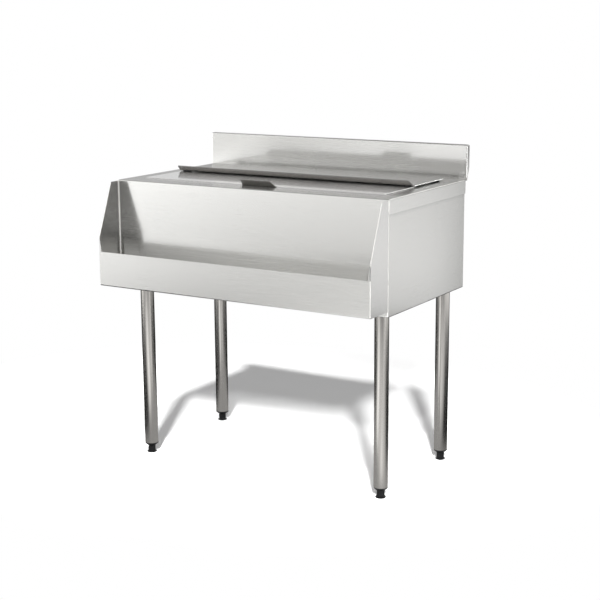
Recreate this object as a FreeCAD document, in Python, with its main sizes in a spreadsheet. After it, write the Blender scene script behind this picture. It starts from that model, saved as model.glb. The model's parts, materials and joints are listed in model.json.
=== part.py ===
"""Underbar ice chest: insulated bin with a sliding two-piece cover, bottle trough and tube legs.

Millimetres, +Z up, +Y to the back. The origin lies on the floor under the middle of the chest.
"""
import FreeCAD, Part
import math
import os
import re
import Sketcher
from FreeCAD import Vector

SIZES = {
    # casing
    "width": 914.4,
    "cabinet_depth": 484.0,
    "deck_height": 860.4,
    "casing_bottom": 538.0,
    "base_recess": 45.0,
    "sheet_gauge": 1.2,
    "bend_radius": 2.0,
    "flange_width": 14.0,
    "seam_gap": 0.3,
    "skirt_drop": 40.0,
    # backsplash
    "splash_height": 101.6,
    "splash_setback": 8.0,
    "splash_return": 16.0,
    "splash_lap": 25.0,
    "splash_end_foot": 4.0,
    "splash_end_taper": 35.0,
    # deck opening and ice bin
    "opening_side_margin": 65.2,
    "opening_front_margin": 86.0,
    "opening_rear_margin": 66.0,
    "opening_corner": 12.0,
    "bin_setback": 2.0,
    "bin_corner": 20.0,
    "bin_cove": 16.0,
    "bin_flange": 15.0,
    "foam_floor": 25.0,
    "foam_wall": 25.0,
    "foam_gap": 0.3,
    # drain
    "dish_radius": 50.0,
    "dish_depth": 5.0,
    "drain_barrel_radius": 23.0,
    "drain_bore_radius": 17.0,
    "drain_barrel_length": 48.0,
    "drain_flange_radius": 44.0,
    "drain_flange_gauge": 4.0,
    "drain_clearance": 0.4,
    "gasket_gauge": 1.5,
    "strainer_radius": 24.0,
    "strainer_gauge": 1.5,
    "strainer_hole_radius": 2.4,
    "strainer_inner_ring": 8.0,
    "strainer_outer_ring": 16.0,
    "locknut_across": 64.0,
    "locknut_gauge": 8.0,
    "pipe_radius": 16.7,
    "pipe_wall": 3.4,
    "pipe_thread_radius": 16.5,
    "pipe_engagement": 18.0,
    "pipe_length": 45.0,
    # bottle trough
    "trough_reach": 101.6,
    "trough_rise": 17.0,
    "lip_height": 102.4,
    "trough_back": 45.0,
    "hem_width": 9.0,
    "hem_round": 1.0,
    "cheek_reach": 37.0,
    "knee_rise": 38.0,
    "ear_width": 9.0,
    "ear_set": 3.0,
    # legs
    "leg_diameter": 41.3,
    "leg_wall": 1.5,
    "leg_side_inset": 51.2,
    "leg_front_inset": 59.0,
    "leg_rear_inset": 35.0,
    "leg_clearance": 0.3,
    "channel_web": 60.0,
    "channel_brim": 14.0,
    "channel_drop": 14.0,
    "channel_gauge": 2.0,
    "socket_plate": 56.0,
    "socket_plate_gauge": 3.0,
    "socket_wall": 3.0,
    "socket_length": 23.0,
    "screw_radius": 4.0,
    "screw_length": 10.0,
    "screw_hole_gap": 0.2,
    # feet
    "foot_height": 32.0,
    "collar_height": 9.5,
    "collar_band": 3.0,
    "collar_rim": 1.4,
    "insert_spigot": 40.0,
    "insert_gap": 0.25,
    "insert_cap": 4.0,
    "foot_neck_radius": 11.3,
    "foot_flange_radius": 15.2,
    "foot_flange_gauge": 3.0,
    "foot_engagement": 22.0,
    "foot_edge": 1.0,
    "thread_gap": 0.3,
    # lids
    "lid_side_lap": 13.0,
    "lid_front_lap": 14.0,
    "lid_rear_lap": 21.0,
    "lid_meeting": 7.0,
    "lid_overlap": 17.0,
    "rear_lid_overhang": 2.0,
    "rear_lid_rise": 7.0,
    "slide_gap": 0.3,
    "lip_lean": 40.0,
    "lip_length": 24.0,
    "lip_end_taper": 7.0,
    "pull_width": 114.0,
    "pull_length": 27.0,
    "pull_end_taper": 6.5,
    "pull_foot": 16.0,
    "glide_length": 24.0,
    "glide_run": 12.0,
    "glide_edge": 0.8,
    "guide_gap": 3.0,
    "guide_width": 10.0,
    "guide_run": 25.0,
    "guide_drop": 6.0,
    # how far a cutting outline runs past the metal
    "cut_over": 5.0,
}

DERIVED = {
    "half_width": "width / 2",
    "side_face": "half_width - sheet_gauge",
    "overall_depth": "trough_reach + cabinet_depth + splash_setback + splash_return",
    "trough_face": "-overall_depth / 2",
    "front_face": "trough_face + trough_reach",
    "back_face": "front_face + cabinet_depth",
    "splash_face": "back_face + splash_setback",
    "rear_edge": "splash_face + splash_return",
    "splash_top": "deck_height + splash_height",
    "bend_outside": "bend_radius + sheet_gauge",
    "deck_under": "deck_height - sheet_gauge",
    "panel_top": "deck_height - bend_outside",
    "skirt_bottom": "deck_height - skirt_drop",
    "lap_half": "side_face - bend_outside",
    "return_half": "side_face - flange_width - seam_gap",
    "base_level": "casing_bottom + base_recess",
    "opening_half": "half_width - opening_side_margin",
    "opening_front": "front_face + opening_front_margin",
    "opening_rear": "back_face - opening_rear_margin",
    "opening_middle": "(opening_front + opening_rear) / 2",
    "bin_half": "opening_half + bin_setback",
    "bin_front": "opening_front - bin_setback",
    "bin_rear": "opening_rear + bin_setback",
    "bin_under": "base_level + sheet_gauge + foam_floor",
    "bin_floor": "bin_under + sheet_gauge",
    "dish_floor": "bin_floor - dish_depth",
    "drain_seat": "dish_floor + gasket_gauge",
    "drain_hole_radius": "drain_barrel_radius + drain_clearance",
    "barrel_end": "drain_seat - drain_barrel_length",
    "trough_floor": "casing_bottom + trough_rise",
    "lip_top": "trough_floor + lip_height",
    "knee_height": "lip_top + knee_rise",
    "cheek_top": "panel_top",
    "cheek_front": "trough_face + sheet_gauge",
    "slant_run": "trough_reach - sheet_gauge - cheek_reach",
    "slant_rise": "cheek_top - knee_height",
    "slant_length": "sqrt(slant_run ^ 2 + slant_rise ^ 2)",
    "slant_back": "slant_run / slant_length",
    "slant_up": "slant_rise / slant_length",
    "leg_radius": "leg_diameter / 2",
    "leg_bore": "leg_radius - leg_wall",
    "leg_side_line": "half_width - leg_side_inset",
    "leg_front_line": "front_face + leg_front_inset",
    "leg_rear_line": "back_face - leg_rear_inset",
    "leg_top": "base_level - seam_gap",
    "channel_under": "base_level - channel_drop",
    "channel_front": "front_face + 2 * sheet_gauge + bend_outside + seam_gap",
    "channel_rear": "back_face - 2 * sheet_gauge - bend_outside - seam_gap",
    "sleeve_bore": "leg_radius + leg_clearance",
    "sleeve_radius": "sleeve_bore + socket_wall",
    "plate_under": "channel_under - socket_plate_gauge",
    "screw_height": "plate_under - socket_length / 2",
    "collar_bottom": "foot_height - collar_height",
    "insert_bore": "foot_neck_radius + thread_gap",
    "insert_top": "foot_height + insert_spigot",
    "front_lid_half": "opening_half + lid_side_lap",
    "front_lid_front": "opening_front - lid_front_lap",
    "rear_lid_front": "opening_middle - lid_meeting",
    "front_lid_rear": "rear_lid_front + lid_overlap",
    "front_lid_seat": "deck_height + slide_gap",
    "front_lid_under": "front_lid_seat + sheet_gauge",
    "front_lid_top": "front_lid_under + sheet_gauge",
    "pull_bend": "front_lid_front - seam_gap - bend_radius * tan(lip_lean / 2)",
    "rear_lid_half": "front_lid_half + rear_lid_overhang",
    "rear_lid_rear": "opening_rear + lid_rear_lap",
    "rear_lid_top": "deck_height + rear_lid_rise",
    "rear_lid_under": "rear_lid_top - sheet_gauge",
    "glide_side": "rear_lid_half - hem_width - seam_gap",
    "guide_side": "opening_half - guide_gap",
}

AXES = "xyz"
TOUCH = 1e-4
SIDES = {"left": "-1", "right": "1"}
LEGS = {f"{end}_{hand}": (hand, f"leg_{end}_line") for end in ("front", "rear") for hand in SIDES}

doc = FreeCAD.newDocument("bar_ice_chest")
sizes = doc.addObject("Spreadsheet::Sheet", "sizes")
sub_parts = []


def fill_sheet():
    """Driving sizes as plain numbers, then the sizes that follow from them, each under its alias."""
    cells = {alias: str(number) for alias, number in SIZES.items()}
    cells.update({alias: f"={formula}" for alias, formula in DERIVED.items()})
    for row, (alias, text) in enumerate(cells.items(), 1):
        sizes.set(f"A{row}", alias)
        sizes.set(f"B{row}", text)
        sizes.setAlias(f"B{row}", alias)
    doc.recompute()


def bound(expression):
    """The expression with every alias written as a cell of the sheet."""
    def cell(word):
        name = word.group(0)
        return f"sizes.{name}" if name in SIZES or name in DERIVED else name
    return re.sub(r"[a-z_][a-z0-9_]*", cell, str(expression))


def value(expression):
    return float(sizes.evalExpression(str(expression)))


def new_body(label):
    body = doc.addObject("PartDesign::Body", label)
    body.Label = label
    sub_parts.append(body)
    return body


def new_sketch(body, name, plane, offset):
    """A sketch on one of the body's own origin planes, moved along that plane's normal."""
    sketch = body.newObject("Sketcher::SketchObject", name)
    base = next(f for f in body.Origin.OriginFeatures if f.Role == plane)
    sketch.AttachmentSupport = [(base, "")]
    sketch.MapMode = "FlatFace"
    sketch.setExpression("AttachmentOffset.Base.z", bound(offset))
    return sketch


def dimension(sketch, geometry, point, across, up):
    """Places one point of the sketch from its origin."""
    for kind, size in (("DistanceX", across), ("DistanceY", up)):
        number = sketch.addConstraint(Sketcher.Constraint(kind, -1, 1, geometry, point, value(size)))
        sketch.setExpression(f"Constraints[{number}]", bound(size))


def outline(sketch, corners):
    """A closed outline of straight edges through the corners."""
    first = sketch.GeometryCount
    points = [Vector(value(across), value(up), 0) for across, up in corners]
    count = len(points)
    for i, point in enumerate(points):
        sketch.addGeometry(Part.LineSegment(point, points[(i + 1) % count]), False)
    for i in range(count):
        joint = Sketcher.Constraint("Coincident", first + i, 2, first + (i + 1) % count, 1)
        sketch.addConstraint(joint)
    for i, (across, up) in enumerate(corners):
        dimension(sketch, first + i, 1, across, up)


def circle(sketch, across, up, radius):
    number = sketch.addGeometry(
        Part.Circle(Vector(value(across), value(up), 0), Vector(0, 0, 1), value(radius)), False)
    dimension(sketch, number, 3, across, up)
    size = sketch.addConstraint(Sketcher.Constraint("Radius", number, value(radius)))
    sketch.setExpression(f"Constraints[{size}]", bound(radius))


def round_outline(sketch, low, high, radius):
    """A closed upright rectangle whose four corners are quarter arcs."""
    first = sketch.GeometryCount
    x_low, y_low, x_high, y_high, r = (value(size) for size in (*low, *high, radius))
    sides = [
        ((x_low + r, y_low), (x_high - r, y_low)), ((x_high, y_low + r), (x_high, y_high - r)),
        ((x_high - r, y_high), (x_low + r, y_high)), ((x_low, y_high - r), (x_low, y_low + r)),
    ]
    for start, end in sides:
        sketch.addGeometry(Part.LineSegment(Vector(*start, 0), Vector(*end, 0)), False)
    centres = [
        (x_high - r, y_low + r), (x_high - r, y_high - r), (x_low + r, y_high - r), (x_low + r, y_low + r),
    ]
    for i, centre in enumerate(centres):
        full = Part.Circle(Vector(*centre, 0), Vector(0, 0, 1), r)
        sketch.addGeometry(Part.ArcOfCircle(full, math.radians(90 * i - 90), math.radians(90 * i)), False)
    for i in range(4):
        arc = first + 4 + i
        sketch.addConstraint(Sketcher.Constraint("Horizontal" if i % 2 == 0 else "Vertical", first + i))
        sketch.addConstraint(Sketcher.Constraint("Tangent", first + i, 2, arc, 1))
        sketch.addConstraint(Sketcher.Constraint("Tangent", arc, 2, first + (i + 1) % 4, 1))
        number = sketch.addConstraint(Sketcher.Constraint("Radius", arc, r))
        sketch.setExpression(f"Constraints[{number}]", bound(radius))
    walls = (("DistanceY", low[1]), ("DistanceX", high[0]), ("DistanceY", high[1]), ("DistanceX", low[0]))
    for i, (kind, size) in enumerate(walls):
        number = sketch.addConstraint(Sketcher.Constraint(kind, -1, 1, first + i, 1, value(size)))
        sketch.setExpression(f"Constraints[{number}]", bound(size))


def rectangle(low, high):
    """Corners of an upright rectangle."""
    return [(low[0], low[1]), (high[0], low[1]), (high[0], high[1]), (low[0], high[1])]


def extrude(body, sketch, length, kind="Pad"):
    """Adds material along the sketch's normal, or pockets it against the normal."""
    before = body.Tip.Shape.Volume if body.Tip else 0.0
    feature = body.newObject(f"PartDesign::{kind}", f"{sketch.Name}_{kind.lower()}")
    feature.Profile = sketch
    feature.setExpression("Length", bound(length))
    doc.recompute()
    change = feature.Shape.Volume - before
    if (change > 0) != (kind == "Pad"):
        raise RuntimeError(f"{feature.Name} changed the volume by {change:.3f}")
    return feature


def pad(body, name, plane, offset, length, outlines=(), circles=()):
    sketch = new_sketch(body, name, plane, offset)
    for corners in outlines:
        outline(sketch, corners)
    for spot in circles:
        circle(sketch, *spot)
    return extrude(body, sketch, length)


def pocket(body, name, plane, offset, length, outlines=(), circles=()):
    sketch = new_sketch(body, name, plane, offset)
    for corners in outlines:
        outline(sketch, corners)
    for spot in circles:
        circle(sketch, *spot)
    return extrude(body, sketch, length, "Pocket")


def straight_edges(body, axis, places):
    """Names of the straight edges along an axis that pass through the places on the other two axes."""
    run = AXES.index(axis)
    others = [i for i in range(3) if i != run]
    wanted = [[value(size) for size in place] for place in places]
    names = []
    for number, edge in enumerate(body.Tip.Shape.Edges, 1):
        if len(edge.Vertexes) != 2 or edge.Curve.TypeId != "Part::GeomLine":
            continue
        start, end = (v.Point for v in edge.Vertexes)
        if abs(abs(end[run] - start[run]) - edge.Length) > TOUCH:
            continue
        if any(all(abs(start[i] - w) < TOUCH for i, w in zip(others, want)) for want in wanted):
            names.append(f"Edge{number}")
    return names


def level_edges(body, axis, place):
    """Names of the edges that lie wholly in the plane across an axis at a place."""
    run = AXES.index(axis)
    level = value(place)
    names = []
    for number, edge in enumerate(body.Tip.Shape.Edges, 1):
        if all(abs(p[run] - level) < TOUCH for p in edge.discretize(5)):
            names.append(f"Edge{number}")
    return names


def level_faces(body, axis, place):
    """Names of the flat faces that lie in the plane across an axis at a place."""
    run = AXES.index(axis)
    level = value(place)
    return [
        f"Face{number}" for number, face in enumerate(body.Tip.Shape.Faces, 1)
        if all(abs(v.Point[run] - level) < TOUCH for v in face.Vertexes)
    ]


def slanted_faces(body):
    """Names of the flat faces that are square to none of the axes."""
    return [
        f"Face{number}" for number, face in enumerate(body.Tip.Shape.Faces, 1)
        if face.Surface.TypeId == "Part::GeomPlane"
        and max(abs(c) for c in face.normalAt(0, 0)) < 1 - TOUCH
    ]


def round_edges(body, radius, names):
    if not names:
        raise RuntimeError(f"no edge to round in {body.Label}")
    base = body.Tip
    feature = body.newObject("PartDesign::Fillet", f"{body.Label}_bend")
    feature.Base = (base, names)
    feature.setExpression("Radius", bound(radius))
    doc.recompute()
    return feature


def fold_sheet(body, open_faces):
    """Turns the block into bent sheet that follows its outside, open at the named faces."""
    base = body.Tip
    feature = body.newObject("PartDesign::Thickness", f"{body.Label}_sheet")
    feature.Base = (base, open_faces)
    feature.Mode = "Skin"
    feature.Join = "Arc"
    feature.Reversed = True
    feature.setExpression("Value", bound("sheet_gauge"))
    doc.recompute()
    return feature


def revolve(body, name, corners):
    """Turns a half outline of (radius, height) corners about the upright axis."""
    sketch = new_sketch(body, name, "XZ_Plane", "0")
    outline(sketch, corners)
    feature = body.newObject("PartDesign::Revolution", f"{name}_turned")
    feature.Profile = sketch
    feature.ReferenceAxis = (sketch, ["V_Axis"])
    feature.Angle = 360
    doc.recompute()
    return feature


def place(body, across="0", back="0"):
    body.setExpression("Placement.Base.x", bound(across))
    body.setExpression("Placement.Base.y", bound(back))


def bottom_return(body, face, inward):
    """Folds the foot of an upright sheet inwards, with a notch at each end for the side panels."""
    notch_top = "casing_bottom + bend_outside + seam_gap"
    ends = [rectangle((f"{side} * return_half", "casing_bottom - cut_over"),
                      (f"{side} * (half_width + cut_over)", notch_top)) for side in SIDES.values()]
    pocket(body, f"{body.Label}_notch", "XZ_Plane", f"-({face} + cut_over)", "2 * cut_over", ends)
    strip = rectangle((face, "casing_bottom"),
                      (f"{face} + {inward} * flange_width", "casing_bottom + sheet_gauge"))
    pad(body, f"{body.Label}_return", "YZ_Plane", "-return_half", "2 * return_half", [strip])
    round_edges(body, "bend_outside", straight_edges(body, "x", [(face, "casing_bottom")]))
    inside = (f"{face} + {inward} * sheet_gauge", "casing_bottom + sheet_gauge")
    round_edges(body, "bend_radius", straight_edges(body, "x", [inside]))


def make_top_deck():
    """Deck, side skirts, rear flange and front apron folded from one sheet, with the bin's opening."""
    body = new_body("top_deck")
    plan = rectangle(("-half_width", "front_face"), ("half_width", "splash_face"))
    pad(body, "deck_plan", "XY_Plane", "casing_bottom", "deck_height - casing_bottom", [plan])
    corners = [(f"{side} * half_width", y) for side in SIDES.values() for y in ("front_face", "splash_face")]
    folds = straight_edges(body, "z", corners) + level_edges(body, "z", "deck_height")
    round_edges(body, "bend_outside", folds)
    fold_sheet(body, level_faces(body, "z", "casing_bottom"))
    below_skirts = [
        ("-half_width - cut_over", "front_face - cut_over"), ("-lap_half", "front_face - cut_over"),
        ("-lap_half", "front_face + sheet_gauge"), ("lap_half", "front_face + sheet_gauge"),
        ("lap_half", "front_face - cut_over"), ("half_width + cut_over", "front_face - cut_over"),
        ("half_width + cut_over", "splash_face + cut_over"),
        ("-half_width - cut_over", "splash_face + cut_over"),
    ]
    pocket(body, "skirt_trim", "XY_Plane", "skirt_bottom", "skirt_bottom - casing_bottom + cut_over",
           [below_skirts])
    skirt_ends = [rectangle((f"{side} * lap_half", "back_face"),
                            (f"{side} * (half_width + cut_over)", "splash_face + cut_over"))
                  for side in SIDES.values()]
    pocket(body, "skirt_end_trim", "XY_Plane", "panel_top", "skirt_drop", skirt_ends)
    bottom_return(body, "front_face", 1)
    mouth = rectangle(("-opening_half", "opening_front"), ("opening_half", "opening_rear"))
    pocket(body, "bin_opening", "XY_Plane", "deck_height", "bend_outside", [mouth])
    mouth_corners = [(f"{side} * opening_half", y) for side in SIDES.values()
                     for y in ("opening_front", "opening_rear")]
    round_edges(body, "opening_corner", straight_edges(body, "z", mouth_corners))


def make_backsplash():
    """Upright sheet with a top return and tapered end returns; its foot laps the deck's rear flange."""
    body = new_body("backsplash")
    foot = "deck_height - splash_lap"
    plan = rectangle(("-half_width", "splash_face"), ("half_width", "rear_edge"))
    pad(body, "splash_plan", "XY_Plane", foot, "splash_height + splash_lap", [plan])
    ends = [(f"{side} * half_width", "splash_face") for side in SIDES.values()]
    crowns = [(f"{side} * half_width", "splash_top") for side in SIDES.values()]
    folds = straight_edges(body, "z", ends) + straight_edges(body, "y", crowns)
    folds += straight_edges(body, "x", [("splash_face", "splash_top")])
    round_edges(body, "bend_outside", folds)
    fold_sheet(body, level_faces(body, "y", "rear_edge") + level_faces(body, "z", foot))
    taper = [
        ("rear_edge + cut_over", "deck_height + splash_end_taper"),
        ("rear_edge", "deck_height + splash_end_taper"),
        ("splash_face + splash_end_foot", "deck_height"),
        ("splash_face + splash_end_foot", f"{foot} - cut_over"),
        ("rear_edge + cut_over", f"{foot} - cut_over"),
    ]
    pocket(body, "splash_end_trim", "YZ_Plane", "half_width + cut_over", "width + 2 * cut_over", [taper])
    stubs = [rectangle((f"{side} * lap_half", "splash_face - cut_over"),
                       (f"{side} * (half_width + cut_over)", "rear_edge + cut_over"))
             for side in SIDES.values()]
    pocket(body, "splash_foot_trim", "XY_Plane", "panel_top", "splash_lap", stubs)


def make_side_panel(hand, side):
    """Outer side folded like a shallow tray, open to the inside and at the top."""
    body = new_body(f"side_panel_{hand}")
    inner = f"{side} * (side_face - flange_width)"
    outer = f"{side} * side_face"
    front = "front_face + sheet_gauge"
    back = "back_face - sheet_gauge"
    pad(body, f"side_{hand}_plan", "XY_Plane", "casing_bottom", "panel_top - casing_bottom",
        [rectangle((inner, front), (outer, back))])
    folds = straight_edges(body, "z", [(outer, front), (outer, back)])
    folds += straight_edges(body, "y", [(outer, "casing_bottom")])
    folds += straight_edges(body, "x", [(front, "casing_bottom"), (back, "casing_bottom")])
    round_edges(body, "bend_outside", folds)
    fold_sheet(body, level_faces(body, "x", inner) + level_faces(body, "z", "panel_top"))


def make_back_panel():
    """Flat back sheet lapped over the side panels' rear flanges, its foot folded forwards."""
    body = new_body("back_panel")
    plan = rectangle(("-lap_half", "back_face - sheet_gauge"), ("lap_half", "back_face"))
    pad(body, "back_plan", "XY_Plane", "casing_bottom", "deck_under - casing_bottom", [plan])
    bottom_return(body, "back_face", -1)


def make_bottom_panel():
    """Recessed base sheet with a flange folded down at the front and the back."""
    body = new_body("bottom_panel")
    front = "front_face + 2 * sheet_gauge"
    back = "back_face - 2 * sheet_gauge"
    top = "base_level + sheet_gauge"
    hem = "base_level - flange_width"
    section = [
        (front, hem), (f"{front} + sheet_gauge", hem), (f"{front} + sheet_gauge", "base_level"),
        (f"{back} - sheet_gauge", "base_level"), (f"{back} - sheet_gauge", hem), (back, hem),
        (back, top), (front, top),
    ]
    pad(body, "base_section", "YZ_Plane", "-lap_half", "2 * lap_half", [section])
    round_edges(body, "bend_outside", straight_edges(body, "x", [(front, top), (back, top)]))
    inside = [(f"{front} + sheet_gauge", "base_level"), (f"{back} - sheet_gauge", "base_level")]
    round_edges(body, "bend_radius", straight_edges(body, "x", inside))
    pocket(body, "base_drain_hole", "XY_Plane", top, "2 * sheet_gauge",
           circles=[("0", "opening_middle", "drain_hole_radius")])


def make_bin_liner():
    """Coved ice bin with a flange under the deck and a pressed dish round the drain."""
    body = new_body("bin_liner")
    low = ("-bin_half - sheet_gauge", "bin_front - sheet_gauge")
    high = ("bin_half + sheet_gauge", "bin_rear + sheet_gauge")
    pad(body, "bin_outside", "XY_Plane", "bin_under", "deck_under - bin_under", [rectangle(low, high)])
    corners = [(x, y) for x in (low[0], high[0]) for y in (low[1], high[1])]
    round_edges(body, "bin_corner + sheet_gauge", straight_edges(body, "z", corners))
    round_edges(body, "bin_cove + sheet_gauge", level_edges(body, "z", "bin_under"))
    fold_sheet(body, level_faces(body, "z", "deck_under"))
    brim = new_sketch(body, "bin_brim", "XY_Plane", "deck_under - sheet_gauge")
    outline(brim, rectangle((f"{low[0]} - bin_flange", f"{low[1]} - bin_flange"),
                            (f"{high[0]} + bin_flange", f"{high[1]} + bin_flange")))
    round_outline(brim, ("-bin_half", "bin_front"), ("bin_half", "bin_rear"), "bin_corner")
    extrude(body, brim, "sheet_gauge")
    centre = ("0", "opening_middle")
    pad(body, "dish_outside", "XY_Plane", "bin_under - dish_depth", "dish_depth + sheet_gauge",
        circles=[(*centre, "dish_radius + sheet_gauge")])
    pocket(body, "dish_inside", "XY_Plane", "bin_floor", "dish_depth", circles=[(*centre, "dish_radius")])
    pocket(body, "dish_drain_hole", "XY_Plane", "dish_floor", "2 * sheet_gauge",
           circles=[(*centre, "drain_hole_radius")])


def make_foam_insulation():
    """Foam jacket round the bin, standing on the base sheet, with a well for the drain."""
    body = new_body("foam_insulation")
    base = "base_level + sheet_gauge"
    top = "deck_under - sheet_gauge"
    skin = "(sheet_gauge + foam_gap)"
    low = (f"-bin_half - {skin}", f"bin_front - {skin}")
    high = (f"bin_half + {skin}", f"bin_rear + {skin}")
    jacket = rectangle((f"{low[0]} - foam_wall", f"{low[1]} - foam_wall"),
                       (f"{high[0]} + foam_wall", f"{high[1]} + foam_wall"))
    pad(body, "foam_plan", "XY_Plane", base, f"{top} - ({base})", [jacket])
    pocket(body, "foam_bin_well", "XY_Plane", top, f"{top} - bin_under + foam_gap", [rectangle(low, high)])
    corners = [(x, y) for x in (low[0], high[0]) for y in (low[1], high[1])]
    round_edges(body, f"bin_corner + {skin}", straight_edges(body, "z", corners))
    round_edges(body, f"bin_cove + {skin}", level_edges(body, "z", "bin_under - foam_gap"))
    pocket(body, "foam_drain_well", "XY_Plane", "bin_under", "foam_floor + sheet_gauge",
           circles=[("0", "opening_middle", f"dish_radius + {skin}")])


def make_trough_pan():
    """Bottle trough folded from one strip: back flange, floor and hemmed front lip."""
    body = new_body("trough_pan")
    half = "(side_face - sheet_gauge - seam_gap)"
    back_top = "trough_floor + trough_back"
    floor_top = "trough_floor + sheet_gauge"
    section = [
        ("front_face", back_top), ("front_face", "trough_floor"), ("trough_face", "trough_floor"),
        ("trough_face", "lip_top"), ("cheek_front", "lip_top"), ("cheek_front", floor_top),
        ("front_face - sheet_gauge", floor_top), ("front_face - sheet_gauge", back_top),
    ]
    pad(body, "trough_section", "YZ_Plane", f"-{half}", f"2 * {half}", [section])
    outside = [("front_face", "trough_floor"), ("trough_face", "trough_floor")]
    round_edges(body, "bend_outside", straight_edges(body, "x", outside))
    inside = [("cheek_front", floor_top), ("front_face - sheet_gauge", floor_top)]
    round_edges(body, "bend_radius", straight_edges(body, "x", inside))
    ends = [rectangle((f"{side} * return_half", "front_face - 2 * bend_outside"),
                      (f"{side} * half_width", "front_face + cut_over")) for side in SIDES.values()]
    pocket(body, "trough_back_trim", "XY_Plane", f"{back_top} + cut_over",
           "trough_back + cut_over - bend_outside", ends)
    fold = rectangle(("cheek_front", "lip_top - hem_width"), ("cheek_front + sheet_gauge", "lip_top"))
    pad(body, "lip_hem", "YZ_Plane", "-return_half", "2 * return_half", [fold])
    crest = [("trough_face", "lip_top"), ("cheek_front + sheet_gauge", "lip_top")]
    round_edges(body, "hem_round", straight_edges(body, "x", crest))


def slant_point(along, inward):
    """A point measured along a cheek's slanted edge from its knee, and square to it into the sheet."""
    return (f"cheek_front + ({along}) * slant_back + ({inward}) * slant_up",
            f"knee_height + ({along}) * slant_up - ({inward}) * slant_back")


def make_trough_cheek(hand, side):
    """Trapezoid end cheek: flange on the apron, flange behind the lip with a tapered ear, hemmed slant."""
    body = new_body(f"trough_cheek_{hand}")
    outer = f"{side} * side_face"
    inner = f"{side} * (side_face - flange_width)"
    start = inner if hand == "right" else outer
    shape = [
        ("front_face", "trough_floor"), ("front_face", "cheek_top"),
        ("front_face - cheek_reach", "cheek_top"), ("cheek_front", "knee_height"),
        ("cheek_front", "trough_floor"),
    ]
    pad(body, f"cheek_{hand}_shape", "YZ_Plane", start, "flange_width", [shape])
    folds = [(outer, "front_face"), (outer, "cheek_front")]
    round_edges(body, "bend_outside", straight_edges(body, "z", folds))
    open_faces = level_faces(body, "x", inner) + slanted_faces(body)
    open_faces += level_faces(body, "z", "cheek_top") + level_faces(body, "z", "trough_floor")
    fold_sheet(body, open_faces)
    skin = f"{side} * (side_face - sheet_gauge)"
    beyond = f"{side} * (side_face - flange_width - cut_over)"
    relief = "trough_floor + bend_outside + seam_gap"
    pocket(body, f"cheek_{hand}_relief", "XY_Plane", relief, "bend_outside + cut_over",
           [rectangle((beyond, "trough_face - cut_over"), (skin, "front_face + cut_over"))])
    ear = [
        (beyond, "lip_top - ear_set"), (f"{side} * (side_face - ear_width)", "lip_top - ear_set"),
        (f"{side} * lap_half", "knee_height"), (f"{side} * lap_half", "knee_height + cut_over"),
        (beyond, "knee_height + cut_over"),
    ]
    pocket(body, f"cheek_{hand}_ear", "XZ_Plane", "cut_over - cheek_front", "cut_over + bend_outside",
           [ear])
    fold = [slant_point("hem_width", "0"), slant_point("slant_length - hem_width", "0"),
            slant_point("slant_length - hem_width", "hem_width"), slant_point("hem_width", "hem_width")]
    fold_start = "side_face - 2 * sheet_gauge" if hand == "right" else "sheet_gauge - side_face"
    pad(body, f"cheek_{hand}_hem", "YZ_Plane", fold_start, "sheet_gauge", [fold])


def make_leg_channel(hand, side):
    """Hat channel under the base sheet, holed for the two tubes of its side."""
    body = new_body(f"leg_channel_{hand}")
    wall = "channel_web / 2"
    brim = "channel_web / 2 + channel_brim"
    inner_wall = "channel_web / 2 - channel_gauge"
    web_top = "channel_under + channel_gauge"
    brim_under = "base_level - channel_gauge"
    half_section = [
        (inner_wall, "base_level"), (brim, "base_level"), (brim, brim_under), (wall, brim_under),
        (wall, "channel_under"),
    ]
    section = half_section + [(f"-({across})", up) for across, up in reversed(half_section)]
    section += [(f"-({inner_wall})", web_top), (inner_wall, web_top)]
    pad(body, f"channel_{hand}_section", "XZ_Plane", "-channel_rear", "channel_rear - channel_front",
        [section])
    outer_bends = ((inner_wall, "base_level"), (wall, "channel_under"))
    inner_bends = ((wall, brim_under), (inner_wall, web_top))
    outside = [(f"{end} * ({across})", up) for end in (1, -1) for across, up in outer_bends]
    inside = [(f"{end} * ({across})", up) for end in (1, -1) for across, up in inner_bends]
    round_edges(body, "bend_radius + channel_gauge", straight_edges(body, "y", outside))
    round_edges(body, "bend_radius", straight_edges(body, "y", inside))
    holes = [("0", line, "sleeve_bore") for line in ("leg_front_line", "leg_rear_line")]
    pocket(body, f"channel_{hand}_holes", "XY_Plane", web_top, "2 * channel_gauge", circles=holes)
    place(body, f"{side} * leg_side_line")


def make_leg_socket(spot, hand, line):
    """Plate under the channel with a sleeve for the tube and a cross hole for its set screw."""
    body = new_body(f"leg_socket_{spot}")
    half = "socket_plate / 2"
    plate = rectangle((f"-{half}", f"-{half}"), (half, half))
    pad(body, f"plate_{spot}", "XY_Plane", "plate_under", "socket_plate_gauge", [plate])
    pad(body, f"sleeve_{spot}", "XY_Plane", "plate_under - socket_length",
        "socket_length + socket_plate_gauge", circles=[("0", "0", "sleeve_radius")])
    pocket(body, f"sleeve_{spot}_bore", "XY_Plane", "channel_under",
           "socket_plate_gauge + socket_length + cut_over", circles=[("0", "0", "sleeve_bore")])
    hole_start = "0" if hand == "right" else "sleeve_radius + cut_over"
    pocket(body, f"sleeve_{spot}_screw_hole", "YZ_Plane", hole_start, "sleeve_radius + cut_over",
           circles=[("0", "screw_height", "screw_radius + screw_hole_gap")])
    place(body, f"{SIDES[hand]} * leg_side_line", line)


def make_leg_set_screws():
    """One set screw through the inner side of every socket, its point at the tube."""
    body = new_body("leg_set_screws")
    for hand, side in SIDES.items():
        tube_side = f"{side} * (leg_side_line - leg_radius)"
        start = f"{tube_side} - screw_length" if hand == "right" else tube_side
        spots = [(line, "screw_height", "screw_radius") for line in ("leg_front_line", "leg_rear_line")]
        pad(body, f"screws_{hand}", "YZ_Plane", start, "screw_length", circles=spots)


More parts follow.
